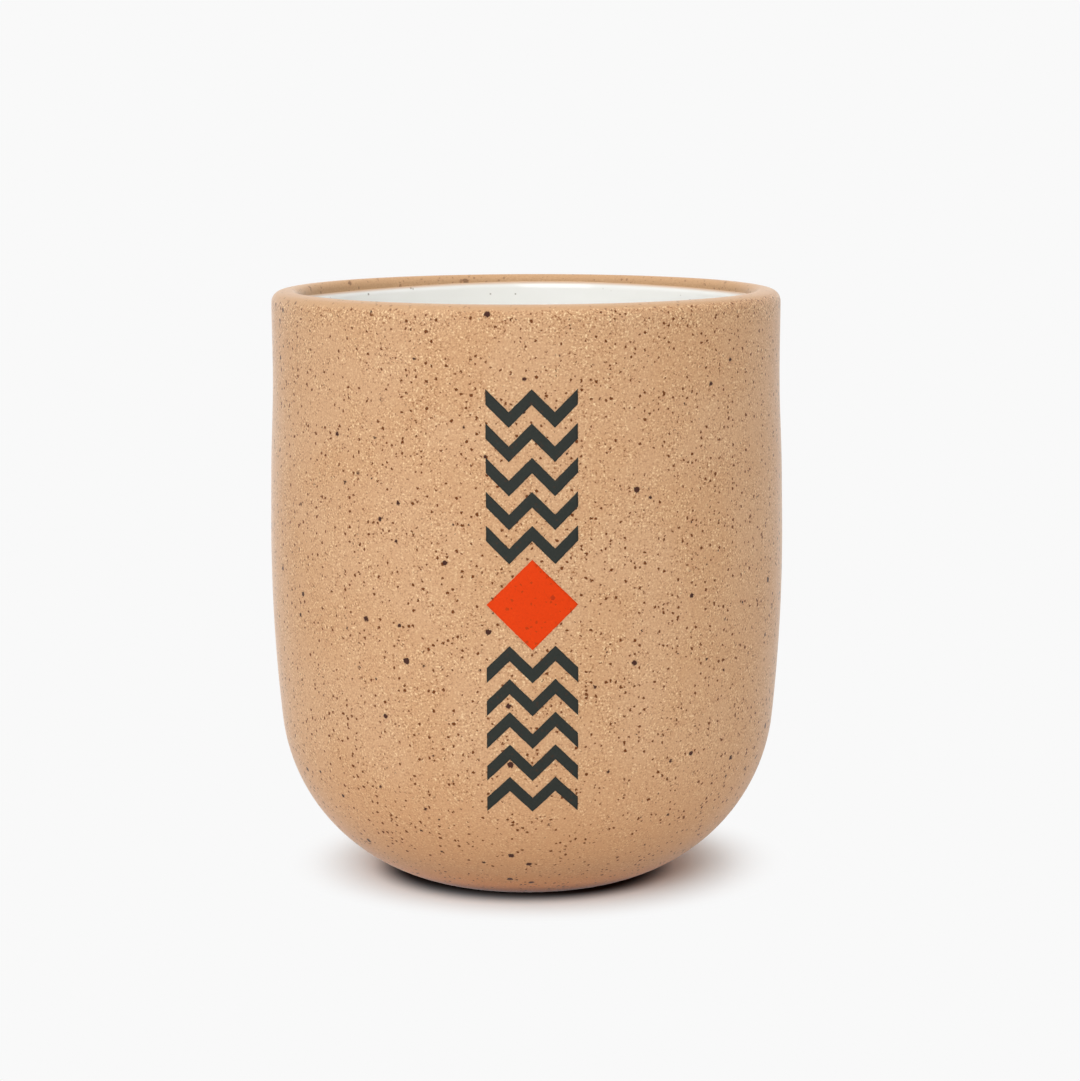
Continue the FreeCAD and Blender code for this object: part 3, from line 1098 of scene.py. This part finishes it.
@dataclass
class Studio:
    """The pale floor, the soft light and the camera.

    Round the cup the camera sees the paper with the cup's shadow, which fades into the backdrop's
    colour further out. Close to the foot the paper is tinted dark, as in a deep contact shadow.
    """

    backdrop: str = "#f9f9f9"
    floor_tone: str = "#f8fbfd"
    ambient: float = 0.4
    floor_size: float = 6000.0
    shade_centre: Place = (1.9, 4.8, 0.0)
    shade_band: Band = (25.0, 45.0)
    mirrored_band: Band = (60.0, 200.0)
    contact_centre: Place = (-0.9, -1.7, 0.0)
    contact_tone: str = "#33251f"
    contact_band: Band = (27.4, 20.5)
    boxes: tuple[SoftBox, ...] = (
        SoftBox("key_soft_box", (-400, -1190, 600), 900, 8.0),
        SoftBox("left_soft_box", (-1150, -250, 450), 900, 0.5),
        SoftBox("right_soft_box", (1100, -550, 450), 900, 0.4),
        SoftBox("top_soft_box", (0, 100, 1300), 900, 8.6),
        SoftBox("back_soft_box", (0, 1320, 500), 900, 4.0),
    )
    camera_distance: float = 545.0
    camera_height: float = 136.95
    camera_aside: float = 2.3
    camera_pitch: float = 8.249
    camera_roll: float = -0.16
    camera_swing: float = -1.35
    near_clip: float = 10.0
    lens: float = 104.93

    def ring(self, tree: bpy.types.NodeTree, point: Socket, centre: Place, band: Band) -> Socket:
        """A share that changes with the distance from a centre on the floor.

        Args:
            tree: the node tree.
            point: the place on the floor.
            centre: the ring's centre, in millimetres.
            band: the distances at which the share is 0 and 1, in millimetres.

        Returns:
            The share.
        """
        inputs = {0: point, 1: Vector(centre) * MM}
        away = add_node(tree, "VectorMath", inputs, operation="DISTANCE").outputs["Value"]
        inputs = {0: away, 1: band[0] * MM, 2: band[1] * MM}
        return add_node(tree, "MapRange", inputs, interpolation_type="SMOOTHSTEP").outputs[0]

    def add_floor(self) -> None:
        """Makes the floor."""
        material, tree = new_material("white seamless paper, matt")
        point = add_node(tree, "TexCoord").outputs["Object"]
        near = self.ring(tree, point, self.shade_centre, self.shade_band)
        far = self.ring(tree, point, self.shade_centre, self.mirrored_band)
        contact = self.ring(tree, point, self.contact_centre, self.contact_band)
        rays = add_node(tree, "LightPath")
        seen = rays.outputs["Is Camera Ray"]
        inputs = {0: rays.outputs["Is Glossy Ray"], 1: rays.outputs["Is Transmission Ray"]}
        mirrored = add_node(tree, "Math", inputs, operation="MAXIMUM")
        tone = lay_tone(tree, self.floor_tone, self.contact_tone, contact, seen)
        paper = add_node(tree, "BsdfDiffuse", {"Color": tone})
        white = add_node(tree, "Emission", {"Color": linear(self.backdrop)})
        beyond = add_node(tree, "Math", {0: mirrored, 1: far}, operation="MULTIPLY")
        share = add_node(tree, "Math", {0: seen, 1: near, 2: beyond}, operation="MULTIPLY_ADD")
        mixed = add_node(tree, "MixShader", {0: share, 1: paper, 2: white})
        add_node(tree, "OutputMaterial", {"Surface": mixed})
        mesh = bmesh.new()
        bmesh.ops.create_grid(mesh, x_segments=1, y_segments=1, size=self.floor_size / 2 * MM)
        data = bpy.data.meshes.new("paper_floor")
        mesh.to_mesh(data)
        mesh.free()
        data.materials.append(material)
        floor = bpy.data.objects.new("paper_floor", data)
        bpy.context.scene.collection.objects.link(floor)
        floor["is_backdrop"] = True

    def add_world(self) -> None:
        """Makes the room's even light. What the camera and reflections see is the backdrop."""
        world = bpy.data.worlds.new("pale_room")
        world.use_nodes = True
        tree = world.node_tree
        tree.nodes.clear()
        rays = add_node(tree, "LightPath")
        inputs = {0: rays.outputs["Is Glossy Ray"], 1: rays.outputs["Is Transmission Ray"]}
        mirrored = add_node(tree, "Math", inputs, operation="MAXIMUM")
        inputs = {0: rays.outputs["Is Camera Ray"], 1: mirrored}
        seen = add_node(tree, "Math", inputs, operation="MAXIMUM")
        light = add_node(tree, "Background", {"Color": (1, 1, 1, 1), "Strength": self.ambient})
        backdrop = add_node(tree, "Background", {"Color": linear(self.backdrop), "Strength": 1.0})
        mixed = add_node(tree, "MixShader", {0: seen, 1: light, 2: backdrop})
        add_node(tree, "OutputWorld", {"Surface": mixed})
        bpy.context.scene.world = world

    def add_camera(self) -> None:
        """Makes the camera, a little to the cup's left and above its rim."""
        lens = bpy.data.cameras.new("camera")
        lens.lens = self.lens
        lens.clip_start = self.near_clip * MM
        camera = bpy.data.objects.new("camera", lens)
        place = Vector((self.camera_aside, -self.camera_distance, self.camera_height)) * MM
        swing = Matrix.Rotation(math.radians(self.camera_swing), 4, "Z")
        tilt = Matrix.Rotation(math.radians(90 - self.camera_pitch), 4, "X")
        roll = Matrix.Rotation(math.radians(self.camera_roll), 4, "Z")
        camera.matrix_world = swing @ Matrix.Translation(place) @ tilt @ roll
        bpy.context.scene.collection.objects.link(camera)
        bpy.context.scene.camera = camera

    def build(self) -> None:
        """Makes the whole studio."""
        bpy.context.scene.view_settings.view_transform = "Standard"
        self.add_floor()
        self.add_world()
        for box in self.boxes:
            box.build()
        self.add_camera()


def plain_bounds() -> list[list[float]]:
    """The object's present box, as plain lists of numbers."""
    return [[float(number) for number in corner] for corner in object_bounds()]


def main() -> None:
    """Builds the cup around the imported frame, and the studio."""
    logging.basicConfig(level=logging.INFO, format="%(name)s: %(message)s")
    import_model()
    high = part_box("stoneware_body")[1]
    form = CupForm(rim_height=high.z / MM, belly_radius=high.x / MM)
    StonewareBody(form).build()
    InteriorGlaze(form).build()
    PrintedColumn(form).build()
    Studio().build()
    bpy.context.view_layer.update()
    log.info("the cup's visual box is %s", plain_bounds())


if __name__ == "__main__":
    main()
